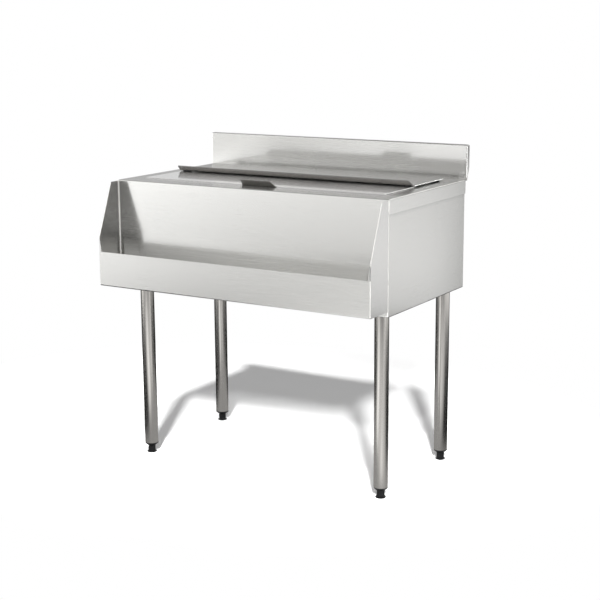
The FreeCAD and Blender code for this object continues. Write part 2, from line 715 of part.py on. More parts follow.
def make_leg(spot, hand, line):
    """Tube from its foot insert up through the socket to the base sheet."""
    body = new_body(f"leg_{spot}")
    sketch = new_sketch(body, f"leg_{spot}_ring", "XY_Plane", "foot_height")
    circle(sketch, "0", "0", "leg_radius")
    circle(sketch, "0", "0", "leg_bore")
    extrude(body, sketch, "leg_top - foot_height")
    place(body, f"{SIDES[hand]} * leg_side_line", line)


def make_foot_insert(spot, hand, line):
    """Plug in the tube's end with a banded, tapered collar below it and a blind bore for the foot."""
    body = new_body(f"foot_insert_{spot}")
    spigot = "leg_bore - insert_gap"
    tip = "insert_bore + collar_rim"
    revolve(body, f"insert_{spot}_half", [
        ("insert_bore", "collar_bottom"), (tip, "collar_bottom"),
        ("leg_radius", "foot_height - collar_band"), ("leg_radius", "foot_height"),
        (spigot, "foot_height"), (spigot, "insert_top"), ("0", "insert_top"),
        ("0", "insert_top - insert_cap"), ("insert_bore", "insert_top - insert_cap"),
    ])
    place(body, f"{SIDES[hand]} * leg_side_line", line)


def make_foot(spot, hand, line):
    """Levelling foot: round neck that screws into the insert, over a small floor flange."""
    body = new_body(f"foot_{spot}")
    neck_top = "collar_bottom + foot_engagement"
    revolve(body, f"foot_{spot}_half", [
        ("0", "0"), ("foot_flange_radius - foot_edge", "0"), ("foot_flange_radius", "foot_edge"),
        ("foot_flange_radius", "foot_flange_gauge - foot_edge"),
        ("foot_neck_radius", "foot_flange_gauge + foot_edge"),
        ("foot_neck_radius", f"{neck_top} - foot_edge"), ("foot_neck_radius - foot_edge", neck_top),
        ("0", neck_top),
    ])
    place(body, f"{SIDES[hand]} * leg_side_line", line)


def make_front_lid():
    """Thin cover that slides on the deck, hemmed all round but for the pull's seat."""
    body = new_body("front_lid")
    low = ("-front_lid_half", "front_lid_front")
    high = ("front_lid_half", "front_lid_rear")
    pad(body, "front_lid_plan", "XY_Plane", "front_lid_seat", "2 * sheet_gauge", [rectangle(low, high)])
    inside = rectangle((f"{low[0]} + hem_width", f"{low[1]} + hem_width"),
                       (f"{high[0]} - hem_width", f"{high[1]} - hem_width"))
    sketch = new_sketch(body, "front_lid_hollow", "XY_Plane", "front_lid_under")
    outline(sketch, inside)
    extrude(body, sketch, "sheet_gauge + cut_over", "Pocket")
    seat = "(pull_width / 2 + seam_gap)"
    gap = rectangle((f"-{seat}", "front_lid_front - cut_over"),
                    (seat, "front_lid_front + hem_width + cut_over"))
    pocket(body, "front_lid_pull_seat", "XY_Plane", "front_lid_under", "sheet_gauge + cut_over", [gap])
    sides = [(f"{side} * front_lid_half", z) for side in SIDES.values()
             for z in ("front_lid_top", "front_lid_seat")]
    round_edges(body, "hem_round", straight_edges(body, "y", sides))


def end_cuts(half, base, taper, length):
    """Corner cuts that slant both ends of a leaning lip, seen from the front."""
    top = f"{base} + {length} * sin(lip_lean) + cut_over"
    crest = f"{base} + {length} * sin(lip_lean)"
    cuts = []
    for side in SIDES.values():
        cuts.append([
            (f"{side} * {half}", base), (f"{side} * ({half} + cut_over)", base),
            (f"{side} * ({half} + cut_over)", top), (f"{side} * ({half} - {taper})", top),
            (f"{side} * ({half} - {taper})", crest),
        ])
    return cuts


def make_front_lid_pull():
    """Trapezoid tab that leans forward from a foot under the lid's front edge."""
    body = new_body("front_lid_pull")
    tip = ("pull_bend - pull_length * cos(lip_lean)", "front_lid_under + pull_length * sin(lip_lean)")
    section = [
        ("front_lid_front + pull_foot", "front_lid_under"), ("pull_bend", "front_lid_under"), tip,
        (f"{tip[0]} - sheet_gauge * sin(lip_lean)", f"{tip[1]} - sheet_gauge * cos(lip_lean)"),
        ("pull_bend - sheet_gauge * tan(lip_lean / 2)", "front_lid_seat"),
        ("front_lid_front + pull_foot", "front_lid_seat"),
    ]
    pad(body, "pull_section", "YZ_Plane", "-pull_width / 2", "pull_width", [section])
    outside = ("pull_bend - sheet_gauge * tan(lip_lean / 2)", "front_lid_seat")
    round_edges(body, "bend_outside", straight_edges(body, "x", [outside]))
    round_edges(body, "bend_radius", straight_edges(body, "x", [("pull_bend", "front_lid_under")]))
    cuts = end_cuts("pull_width / 2", "front_lid_under", "pull_end_taper", "pull_length")
    pocket(body, "pull_end_cuts", "XZ_Plane", "pull_length + cut_over - front_lid_front",
           "pull_length + 2 * cut_over", cuts)


def make_front_lid_guides():
    """Blocks under the front lid that run inside the opening's side edges."""
    body = new_body("front_lid_guides")
    starts = ("opening_front + bin_corner", "front_lid_rear - hem_width - seam_gap - guide_run")
    blocks = [rectangle((f"{side} * (guide_side - guide_width)", start),
                        (f"{side} * guide_side", f"{start} + guide_run"))
              for side in SIDES.values() for start in starts]
    pad(body, "guide_plan", "XY_Plane", "deck_height - guide_drop",
        "front_lid_under - deck_height + guide_drop", blocks)


def make_rear_lid():
    """Raised cover with hemmed sides and rear, and a full-width hemmed lip that leans forward."""
    body = new_body("rear_lid")
    tip = ("rear_lid_front - lip_length * cos(lip_lean)", "rear_lid_top + lip_length * sin(lip_lean)")
    fold = (f"{tip[0]} - 2 * sheet_gauge * sin(lip_lean)", f"{tip[1]} - 2 * sheet_gauge * cos(lip_lean)")
    fold_end = (f"{fold[0]} + hem_width * cos(lip_lean)", f"{fold[1]} - hem_width * sin(lip_lean)")
    section = [
        ("rear_lid_rear", "rear_lid_top"), ("rear_lid_front", "rear_lid_top"), tip, fold, fold_end,
        (f"{fold_end[0]} + sheet_gauge * sin(lip_lean)", f"{fold_end[1]} + sheet_gauge * cos(lip_lean)"),
        ("rear_lid_front - sheet_gauge * tan(lip_lean / 2)", "rear_lid_under"),
        ("rear_lid_rear", "rear_lid_under"),
    ]
    pad(body, "rear_lid_section", "YZ_Plane", "-rear_lid_half", "2 * rear_lid_half", [section])
    outside = ("rear_lid_front - sheet_gauge * tan(lip_lean / 2)", "rear_lid_under")
    round_edges(body, "bend_outside", straight_edges(body, "x", [outside]))
    round_edges(body, "bend_radius", straight_edges(body, "x", [("rear_lid_front", "rear_lid_top")]))
    hem_front = "rear_lid_front + bend_outside"
    hem = [
        ("-rear_lid_half", hem_front), ("-rear_lid_half + hem_width", hem_front),
        ("-rear_lid_half + hem_width", "rear_lid_rear - hem_width"),
        ("rear_lid_half - hem_width", "rear_lid_rear - hem_width"),
        ("rear_lid_half - hem_width", hem_front), ("rear_lid_half", hem_front),
        ("rear_lid_half", "rear_lid_rear"), ("-rear_lid_half", "rear_lid_rear"),
    ]
    pad(body, "rear_lid_hem", "XY_Plane", "rear_lid_under - sheet_gauge", "sheet_gauge", [hem])
    cuts = end_cuts("rear_lid_half", "rear_lid_top", "lip_end_taper", "lip_length")
    pocket(body, "lip_end_cuts", "XZ_Plane", "lip_length + cut_over - rear_lid_front",
           "lip_length + 2 * cut_over", cuts)


def make_rear_lid_glides(name, starts, low):
    """Pair of blocks under the rear lid, from its plate down to what they slide on."""
    body = new_body(name)
    blocks = [rectangle((f"{side} * (glide_side - glide_length)", starts),
                        (f"{side} * glide_side", f"{starts} + glide_run")) for side in SIDES.values()]
    pad(body, f"{name}_plan", "XY_Plane", low, f"rear_lid_under - ({low})", blocks)
    round_edges(body, "glide_edge", level_edges(body, "z", low))


def make_drain_body():
    """Flanged drain cup that clamps the dish, with a seat for the strainer and a long barrel."""
    body = new_body("drain_body")
    rim = "drain_seat + drain_flange_gauge"
    seat = f"{rim} - strainer_gauge"
    seat_radius = "strainer_radius + drain_clearance"
    revolve(body, "drain_half", [
        ("drain_bore_radius", "barrel_end"), ("drain_barrel_radius", "barrel_end"),
        ("drain_barrel_radius", "drain_seat"), ("drain_flange_radius", "drain_seat"),
        ("drain_flange_radius", f"{seat}"), (f"{seat_radius} + drain_flange_gauge", rim), (seat_radius, rim),
        (seat_radius, seat), ("drain_bore_radius", seat),
    ])
    place(body, "0", "opening_middle")


def make_drain_gasket():
    """Flat ring between the drain's flange and the dish."""
    body = new_body("drain_gasket")
    pad(body, "gasket_ring", "XY_Plane", "dish_floor", "gasket_gauge",
        circles=[("0", "0", "drain_flange_radius"), ("0", "0", "drain_hole_radius")])
    place(body, "0", "opening_middle")


def make_drain_strainer():
    """Loose disc with two rings of holes, lying in the drain's seat."""
    body = new_body("drain_strainer")
    seat = "drain_seat + drain_flange_gauge - strainer_gauge"
    pad(body, "strainer_disc", "XY_Plane", seat, "strainer_gauge", circles=[("0", "0", "strainer_radius")])
    for ring, count in (("inner", 6), ("outer", 12)):
        hole = pocket(body, f"strainer_{ring}_hole", "XY_Plane", f"{seat} + strainer_gauge",
                      "2 * strainer_gauge", circles=[(f"strainer_{ring}_ring", "0", "strainer_hole_radius")])
        pattern = body.newObject("PartDesign::PolarPattern", f"strainer_{ring}_holes")
        pattern.Originals = [hole]
        pattern.Axis = (hole.Profile[0], ["N_Axis"])
        pattern.Angle = 360
        pattern.Occurrences = count
        body.Tip = pattern
        doc.recompute()
    place(body, "0", "opening_middle")


def make_drain_locknut():
    """Hexagon nut on the barrel, tight under the dish."""
    body = new_body("drain_locknut")
    top = "bin_under - dish_depth"
    corner = "locknut_across / sqrt(3)"
    hexagon = [(f"{corner} * cos({60 * i})", f"{corner} * sin({60 * i})") for i in range(6)]
    pad(body, "locknut_hexagon", "XY_Plane", f"{top} - locknut_gauge", "locknut_gauge", [hexagon],
        [("0", "0", "drain_hole_radius")])
    place(body, "0", "opening_middle")


def make_drain_tailpiece():
    """Pipe end below the barrel, for the bar's waste hose."""
    body = new_body("drain_tailpiece")
    bore = "pipe_radius - pipe_wall"
    end = "barrel_end - pipe_length"
    top = "barrel_end + pipe_engagement"
    revolve(body, "tailpiece_half", [
        (bore, end), ("pipe_radius", end), ("pipe_radius", "barrel_end"),
        ("pipe_thread_radius", "barrel_end"), ("pipe_thread_radius", top), (bore, top),
    ])
    place(body, "0", "opening_middle")


def check_document():
    """Stops before anything is written if a feature failed or a sub-part is not a sound solid."""
    doc.recompute()
    failed = [o.Name for o in doc.Objects if {"Invalid", "Error"} & set(o.State)]
    if failed:
        raise RuntimeError(f"failed features: {failed}")
    for body in sub_parts:
        if body.Shape.isNull() or not body.Shape.isValid() or not body.Shape.Solids:
            raise RuntimeError(f"{body.Label} is not a sound solid")


def write_steps():
    os.makedirs("parts", exist_ok=True)
    for body in sub_parts:
        body.Shape.exportStep(f"parts/{body.Label}.step")
        box = body.Shape.BoundBox
        print(f"{body.Label:28s} solids {len(body.Shape.Solids)}  "
              f"{box.XLength:7.1f} x {box.YLength:7.1f} x {box.ZLength:7.1f}")


fill_sheet()
make_top_deck()
make_backsplash()
make_back_panel()
make_bottom_panel()
make_bin_liner()
make_foam_insulation()
make_trough_pan()
for hand, side in SIDES.items():
    make_side_panel(hand, side)
    make_trough_cheek(hand, side)
    make_leg_channel(hand, side)
make_leg_set_screws()
for spot, (hand, line) in LEGS.items():
    make_leg_socket(spot, hand, line)
    make_leg(spot, hand, line)
    make_foot_insert(spot, hand, line)
    make_foot(spot, hand, line)
make_front_lid()
make_front_lid_pull()
make_front_lid_guides()
make_rear_lid()
make_rear_lid_glides("rear_lid_front_glides", "rear_lid_front + bend_outside", "front_lid_top + slide_gap")
make_rear_lid_glides("rear_lid_rear_glides", "rear_lid_rear - hem_width - seam_gap - glide_run",
                     "deck_height + slide_gap")
make_drain_body()
make_drain_gasket()
make_drain_strainer()
make_drain_locknut()
make_drain_tailpiece()
check_document()
write_steps()
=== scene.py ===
# %% [markdown]
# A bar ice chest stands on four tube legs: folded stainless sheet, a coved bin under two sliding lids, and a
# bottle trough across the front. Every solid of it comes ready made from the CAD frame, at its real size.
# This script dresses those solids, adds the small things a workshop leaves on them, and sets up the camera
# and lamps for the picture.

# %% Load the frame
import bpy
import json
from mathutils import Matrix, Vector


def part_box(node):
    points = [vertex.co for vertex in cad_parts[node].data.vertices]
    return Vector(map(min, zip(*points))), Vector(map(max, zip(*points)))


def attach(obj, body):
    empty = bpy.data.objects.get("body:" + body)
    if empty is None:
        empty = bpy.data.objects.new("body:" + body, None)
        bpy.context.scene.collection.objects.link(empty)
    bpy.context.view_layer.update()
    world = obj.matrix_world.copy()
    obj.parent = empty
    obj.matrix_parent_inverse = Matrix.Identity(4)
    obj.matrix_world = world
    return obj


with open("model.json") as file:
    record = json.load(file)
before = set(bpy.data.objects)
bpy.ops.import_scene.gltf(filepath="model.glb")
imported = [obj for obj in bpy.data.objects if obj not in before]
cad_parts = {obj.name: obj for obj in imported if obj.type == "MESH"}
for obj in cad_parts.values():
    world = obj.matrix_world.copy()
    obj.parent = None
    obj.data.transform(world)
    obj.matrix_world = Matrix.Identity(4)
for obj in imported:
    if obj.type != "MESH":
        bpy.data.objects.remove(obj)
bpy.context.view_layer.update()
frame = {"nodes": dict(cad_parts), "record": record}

import json
import bpy
import numpy as np
from mathutils import Matrix

# %% [markdown]
# The photograph looks down a little on the right front corner. The place, turn and focal length of the camera
# were worked out from the corners of the casing, so that lines of the model fall on lines of the picture. A
# camera looks along its own -Z, so its matrix holds the right, up and backward directions as columns. The
# lamps are set up in the same way later.

# %% Camera
CAMERA_PLACE = (2.1047, -3.3606, 1.3542)
CAMERA_YAW = 0.5479
CAMERA_PITCH = -0.2118
CAMERA_ROLL = -0.0062
FOCAL_PIXELS = 1350.9
PICTURE_PIXELS = 600.0
SENSOR_WIDTH = 36.0
VIEW_END = 200.0

def camera_axes(yaw, pitch, roll):
    """Forward from yaw and pitch; right lies level; up is right x forward; roll turns right and up."""
    forward = np.array([-np.sin(yaw) * np.cos(pitch), np.cos(yaw) * np.cos(pitch), np.sin(pitch)])
    level = np.array([np.cos(yaw), np.sin(yaw), 0.0])
    upright = np.cross(level, forward)
    right = np.cos(roll) * level + np.sin(roll) * upright
    up = np.cos(roll) * upright - np.sin(roll) * level
    return right, up, forward

def put(name, data):
    """A new object that holds the data, linked to the scene."""
    item = bpy.data.objects.new(name, data)
    bpy.context.scene.collection.objects.link(item)
    return item

def standing(right, up, back, place):
    """The matrix of an object at a place, with its own X, Y and Z along right, up and back."""
    matrix = np.eye(4)
    matrix[:3, :3] = np.stack([right, up, back], axis=1)
    matrix[:3, 3] = place
    return Matrix(matrix.tolist())

right, up, forward = camera_axes(CAMERA_YAW, CAMERA_PITCH, CAMERA_ROLL)
lens = bpy.data.cameras.new("viewpoint")
lens.sensor_width = SENSOR_WIDTH
lens.lens = SENSOR_WIDTH * (FOCAL_PIXELS / PICTURE_PIXELS)
lens.clip_end = VIEW_END
camera = put("viewpoint", lens)
camera.matrix_world = standing(right, up, -forward, CAMERA_PLACE)
bpy.context.scene.camera = camera
bpy.context.scene.view_settings.view_transform = "Standard"
print("lens", round(lens.lens, 2), "mm")

# %% [markdown]
# A shader is a graph of nodes, and long graphs are hard to read in code. One small class wraps a socket, so
# that plain arithmetic on it adds the Math nodes, and one method adds any other node. A colour or a vector is
# mixed with its own nodes, because a Math node would turn it grey.

# %% Shader arithmetic
class Wire:
    """A shader socket that takes part in Python arithmetic."""

    def __init__(self, tree, socket=None):
        self.tree = tree
        self.socket = socket

    def node(self, kind, settings=None, sockets=None):
        """Adds a node: its settings first, then values or links for its sockets."""
        node = self.tree.nodes.new(kind)
        for name, value in (settings or {}).items():
            setattr(node, name, value)
        self.fill(node, sockets or {})
        return node

    def fill(self, node, sockets):
        """Gives each named socket of a node its value, or a link where the value is a wire."""
        for name, value in sockets.items():
            if isinstance(value, Wire):
                self.tree.links.new(value.socket, node.inputs[name])
            else:
                node.inputs[name].default_value = value

    def of(self, node, out=0):
        """One of a node's outputs as a wire."""
        return Wire(self.tree, node.outputs[out])

    def add(self, kind, settings=None, sockets=None, out=0):
        """Adds a node and gives one of its outputs."""
        return self.of(self.node(kind, settings, sockets), out)

    def math(self, operation, first, second=0.0):
        return self.add("ShaderNodeMath", {"operation": operation}, {0: first, 1: second})

    def __add__(self, other):
        return self.math("ADD", self, other)

    def __radd__(self, other):
        return self.math("ADD", other, self)

    def __sub__(self, other):
        return self.math("SUBTRACT", self, other)

    def __rsub__(self, other):
        return self.math("SUBTRACT", other, self)

    def __mul__(self, other):
        return self.math("MULTIPLY", self, other)

    def __rmul__(self, other):
        return self.math("MULTIPLY", other, self)

    def __truediv__(self, other):
        return self.math("DIVIDE", self, other)

    def __rtruediv__(self, other):
        return self.math("DIVIDE", other, self)

    def __neg__(self):
        return 0.0 - self

    def __abs__(self):
        return self.math("ABSOLUTE", self)

    def root(self):
        return self.math("SQRT", self)

    def held(self, low, high):
        """The value, but never under low or over high."""
        return self.math("MAXIMUM", self.math("MINIMUM", self, high), low)

    def rise(self, low, high):
        """0 up to low, 1 from high on, and a soft step between."""
        settings = {"interpolation_type": "SMOOTHSTEP"}
        return self.add("ShaderNodeMapRange", settings, {0: self, 1: low, 2: high, 3: 0.0, 4: 1.0})

    def fall(self, low, high):
        """1 up to low, 0 from high on, and a soft step between."""
        return 1.0 - self.rise(low, high)

    def blend(self, low, high):
        """A colour between low and high, by this value."""
        return self.add("ShaderNodeMix", {"data_type": "RGBA"}, {0: self, 6: low, 7: high}, out=2)

    def mix(self, first, second):
        """A shader between two others, by this value."""
        return self.add("ShaderNodeMixShader", {}, {0: self, 1: first, 2: second})

    def stretched(self, scale):
        return self.add("ShaderNodeMapping", {"vector_type": "POINT"}, {0: self, 3: scale})

    def noise(self, scale, detail=2.0, roughness=0.5):
        sockets = {"Vector": self, "Scale": scale, "Detail": detail, "Roughness": roughness}
        return self.add("ShaderNodeTexNoise", {}, sockets)

    def bump(self, strength, distance):
        """A surface tilted by this value as a height."""
        return self.add("ShaderNodeBump", {}, {"Strength": strength, "Distance": distance, "Height": self})

    def numbers(self):
        """The three numbers of a vector, each as a wire."""
        node = self.node("ShaderNodeSeparateXYZ", {}, {0: self})
        return [self.of(node, axis) for axis in range(3)]

    def show(self):
        """Makes this shader what its material shows."""
        output = next(node for node in self.tree.nodes if node.type == "OUTPUT_MATERIAL")
        self.fill(output, {0: self})


def finish_named(name):
    """A new material with one Principled shader; gives it, the shader and the object coordinates."""
    material = bpy.data.materials.new(name)
    material.use_nodes = True
    material.node_tree.nodes.clear()
    wire = Wire(material.node_tree)
    shader = wire.node("ShaderNodeBsdfPrincipled")
    wire.node("ShaderNodeOutputMaterial")
    wire.of(shader).show()
    return material, shader, wire.add("ShaderNodeTexCoord", out="Object")

print("shader helpers ready")

# %% [markdown]
# The chest stands in a white studio: a pale floor without an end, broad soft lamps, and a soft shadow that
# falls behind the chest. Bright metal has no colour of its own to speak of; it shows whatever stands round
# it, so the surroundings matter as much as the lamps. The studio is bright in front and on the left and
# dimmer behind, which gives the lids and the deck their slope from pale to grey.

# %% Surroundings
SOFT_FILL = 0.1
CEILING = 0.3
SKY_TOP = 1.5
FRONT_RIGHT = 0.26
FRONT_STEPS = (0.64, 0.54)
BACK_GAP = 0.21
BACK_WALLS = (0.8, 0.48)

def ray_kinds(wire):
    """Two wires: 1 for the camera's own rays, and 1 for rays that metal or clear plastic sends on."""
    node = wire.node("ShaderNodeLightPath")
    names = ("Is Camera Ray", "Is Glossy Ray", "Is Transmission Ray")
    seen, mirrored, passed = (wire.of(node, name) for name in names)
    return seen, mirrored + passed

def sky_in_mirrors(x, y, z):
    """Level of the sky in reflections, by direction. In front it falls from a bright left to a dull right,
    fades upwards, and has a bright window high in the middle. Behind, a dim gap stands between bright walls
    under a light panel. The ceiling is dull."""
    front = (-y).rise(-0.35, 0.35)
    ahead = FRONT_RIGHT + FRONT_STEPS[0] * (-x).rise(-0.5, 0.2) + FRONT_STEPS[1] * (-x).rise(0.36, 0.6)
    ahead = ahead * (1.0 - 0.4 * z.rise(0.15, 0.5))
    window = z.rise(0.18, 0.3) * (x + 0.45).rise(0.0, 0.15) * x.fall(0.2, 0.45)
    ahead = ahead + (SKY_TOP - ahead) * window
    behind = BACK_GAP + BACK_WALLS[0] * x.rise(0.36, 0.6) + BACK_WALLS[1] * (-x).rise(0.4, 0.6)
    panel = z.rise(0.22, 0.38) * y.rise(0.4, 0.6)
    behind = behind + (SKY_TOP - behind) * panel
    level = ahead * front + behind * (1.0 - front)
    return level + (CEILING - level) * z.rise(0.6, 0.85)

def dress_sky():
    """White to the eye, a level of its own in mirrors, and a soft fill for everything else. A world's first
    texture coordinate is the direction that a ray looks in."""
    world = bpy.data.worlds.new("studio")
    world.use_nodes = True
    world.node_tree.nodes.clear()
    wire = Wire(world.node_tree)
    shown = sky_in_mirrors(*wire.add("ShaderNodeTexCoord", out=0).numbers())
    seen, mirrored = ray_kinds(wire)
    level = seen + mirrored * shown + (1.0 - seen - mirrored) * SOFT_FILL
    dark = wire.add("ShaderNodeBackground", {}, {"Color": (0.0, 0.0, 0.0, 1.0)})
    white = wire.add("ShaderNodeBackground", {}, {"Color": (1.0, 1.0, 1.0, 1.0), "Strength": SKY_TOP})
    wire.node("ShaderNodeOutputWorld", {}, {"Surface": (level * (1.0 / SKY_TOP)).mix(dark, white)})
    bpy.context.scene.world = world

dress_sky()
print("sky", bpy.context.scene.world.name)

# %% [markdown]
# The floor is matt and pale. The camera sees it a little lighter than it is lit, so that it ends in white and
# keeps the shadow, and far away it turns into the white of the sky. In the metal it shows painted light and
# shade instead of its lit look: lighter at the left front, duller behind, and a painted shadow where the
# chest stands.

# %% Floor
FLOOR_LIFT = 0.27
FLOOR_TONE = 0.9
FLOOR_REACH = 40.0
FLOOR_DROP = 0.0004
MIRROR_TOP = 2.3
MIRROR_LOW = 0.13
FRONT_AT_MIDDLE = -0.13
FALL_TO_RIGHT = 0.48
LEFT_LIFT = 0.25
BACK_DIM = 0.2
BACK_BRIGHT = 0.9
FAR_PATCH = 0.9
NEAR_LOW = 0.03
NEAR_BRIGHT = 1.4
GREY_POOL = 0.38
VIEWER_SIDE = (0.52, -0.85)

def floor_in_mirrors(spot):
    """Level of the floor in reflections, as a share of MIRROR_TOP: painted light and shade. In front it falls
    from left to right; far off it is dark on the left, with a bright patch beside that. Behind it is dim,
    then bright to the right. Near the chest it is bright towards the viewer and dark elsewhere, a painted
    shadow, with a grey pool at the feet."""
    x, y, _ = spot.numbers()
    reach = x * x + y * y
    front = (-y).rise(0.6, 2.0)
    slope = FRONT_AT_MIDDLE - FALL_TO_RIGHT * x + LEFT_LIFT * (-x).rise(1.2, 2.2) * (-y).fall(2.9, 3.4)
    behind = BACK_DIM + BACK_BRIGHT * (x - 0.43 * y).rise(0.2, 0.6)
    away = slope.held(MIRROR_LOW, MIRROR_TOP) * front + behind * (1.0 - front)
    away = away * (1.0 - 0.85 * front * reach.rise(50.0, 85.0) * (-x).rise(3.3, 5.0))
    patch = reach.rise(45.0, 65.0) * (x + 5.7).rise(0.0, 1.3) * (-x).rise(1.0, 2.2)
    away = away + FAR_PATCH * front * patch
    away = away * (1.0 - 0.8 * y.rise(7.5, 9.0))
    facing = (VIEWER_SIDE[0] * x + VIEWER_SIDE[1] * y) / reach.root()
    beside = NEAR_LOW + NEAR_BRIGHT * facing.rise(0.3, 0.92) * (1.0 - 0.45 * facing.rise(0.9, 0.99))
    beside = beside * (1.0 - 0.4 * (x + 0.8 * y).rise(0.1, 0.5))
    beside = beside + (GREY_POOL - beside) * reach.fall(0.15, 0.6)
    return (away + (beside - away) * reach.fall(4.5, 7.5)) * (1.0 / MIRROR_TOP)

def pale_floor_finish():
    """Matt and lit by the lamps, lifted for the eye, white far off, and with its own level in mirrors."""
    material, shader, spot = finish_named("pale_floor")
    spot.fill(shader, {"Base Color": (FLOOR_TONE, FLOOR_TONE, FLOOR_TONE, 1.0), "Roughness": 0.9,
                       "Specular IOR Level": 0.0})
    def glow(strength):
        return spot.add("ShaderNodeEmission", {}, {"Color": (1.0, 1.0, 1.0, 1.0), "Strength": strength})
    lit = spot.of(shader)
    lifted = spot.add("ShaderNodeAddShader", {}, {0: lit, 1: glow(FLOOR_LIFT)})
    x, y, _ = spot.numbers()
    far = ((x + 0.3) * (x + 0.3) + 1.5 * (y - 0.25) * (y - 0.25)).rise(0.8, 1.7)
    seen, mirrored = ray_kinds(spot)
    to_eye = (seen * far).mix(seen.mix(lit, lifted), glow(1.0))
    in_metal = floor_in_mirrors(spot).mix(glow(0.0), glow(MIRROR_TOP))
    mirrored.mix(to_eye, in_metal).show()
    return material

def pale_floor():
    """One square sheet just under the feet."""
    corners = np.array([[-1, -1], [1, -1], [1, 1], [-1, 1]], float) * FLOOR_REACH
    places = np.column_stack([corners, np.full(4, -FLOOR_DROP)])
    mesh = bpy.data.meshes.new("floor")
    mesh.from_pydata(places.tolist(), [], [[0, 1, 2, 3]])
    mesh.materials.append(pale_floor_finish())
    return put("floor", mesh)

floor = pale_floor()
print("floor", floor.name)

# %% [markdown]
# Four soft lamps stand in front, on the right of the camera, in two pairs: one pair lights the left half of
# the floor and one the right half. In each pair a low and a high lamp stand in line. Either alone leaves the
# floor light; where the chest hides both, the dark band of the shadow and the wedges behind the legs appear.
# The metal doesn't mirror the lamps: the levels of the sky and the floor stand for them there.

# %% Lamps
LAMP_RADIUS = 0.33
PATCH_RADIUS = 1.35
PATCH_BLEND = 0.3
LEFT_PATCH = (-1.25, 0.4, 0.0)
RIGHT_PATCH = (1.15, 0.3, 0.0)

def soft_spot(name, place, aim, power):
    """A round lamp at a place that lights a soft-edged patch about a point on the floor. Its cone is twice
    the angle whose tangent is the patch's radius over the distance."""
    lamp = bpy.data.lights.new(name, "SPOT")
    holder = put(name, lamp)
    back = np.subtract(place, aim)
    distance = np.linalg.norm(back)
    back /= distance
    side = np.cross([0.0, 0.0, 1.0], back)
    side /= np.linalg.norm(side)
    holder.matrix_world = standing(side, np.cross(back, side), back, place)
    holder.visible_glossy = False
    lamp.energy = power
    lamp.shadow_soft_size = LAMP_RADIUS
    lamp.spot_size = 2.0 * float(np.arctan(PATCH_RADIUS / distance))
    lamp.spot_blend = PATCH_BLEND
    return holder.name

lamps = [
    soft_spot("left_low_lamp", (3.19, -7.29, 5.90), LEFT_PATCH, 6000.0),
    soft_spot("left_high_lamp", (2.29, -5.50, 10.20), LEFT_PATCH, 6700.0),
    soft_spot("right_low_lamp", (4.78, -6.65, 4.78), RIGHT_PATCH, 6300.0),
    soft_spot("right_high_lamp", (3.66, -4.99, 8.60), RIGHT_PATCH, 5700.0),
]
print("lamps", lamps)

# %% [markdown]
# Stainless sheet leaves the mill with a fine straight grain. Close up it is a field of hair-thin scratches;
# from a step away it stretches reflections across the grain and lets long edges stay sharp. A noise drawn out
# along the grain stands for the scratches: it moves the roughness a little and tilts the surface a little.
# The grain runs along the length of each sheet, so faces that look sideways take it front to back. Slow
# patches in the roughness are the marks of wiping.

# %% Grain of the sheet
GRAIN_ALONG = 12.0
GRAIN_ACROSS = 3000.0
BAND_ALONG = 1.2
BAND_ACROSS = 160.0

def tint(colour, share=1.0):
    """A colour times a share, no lighter than white, with the fourth number that a colour socket takes."""
    return (*(min(1.0, c * share) for c in colour), 1.0)

def scratches(spot, sideways):
    """A noise drawn out along X, or along Y on faces that look sideways, in cells per metre."""
    lengthwise = spot.stretched((GRAIN_ALONG, GRAIN_ACROSS, GRAIN_ACROSS)).noise(1.0, 2.0, 0.6)
    crosswise = spot.stretched((GRAIN_ACROSS, GRAIN_ALONG, GRAIN_ACROSS)).noise(1.0, 2.0, 0.6)
    return lengthwise + sideways * (crosswise - lengthwise)

def faint_bands(spot):
    """A coarser noise along the grain, where the brush pressed harder."""
    return spot.stretched((BAND_ALONG, BAND_ACROSS, BAND_ACROSS)).noise(1.0, 3.0, 0.6)

print("grain", GRAIN_ACROSS, "scratches a metre")

# %% [markdown]
# One finish can't serve the whole chest. Upright sheets show a broad haze under a thin sharp reflection,
# while flat sheets carry a painted shade that makes them duller, and a thin film of water marks. The trough
# is hazier inside, where bottles rub it, and a painted shade darkens it lower down and lightens it upwards; a
# painted shadow darkens the strip under the skirt. One function makes all of these, and each sheet picks its
# share.

# %% Brushed sheet
GRAIN_SPREAD = 0.8
QUARTER_TURN = 0.25
FLAT_ROUGHNESS = 0.24
UPRIGHT_COAT_IOR = 2.0
FLAT_COAT_IOR = 1.5
COAT_ROUGHNESS = 0.07
FACE_TURN = (0.45, 0.55)
TROUGH_SHADE_HEIGHTS = (0.57, 0.67)
SKIRT_SHADE_HEIGHTS = (0.806, 0.819)
DRIED_HEIGHTS = (0.62, 0.70)

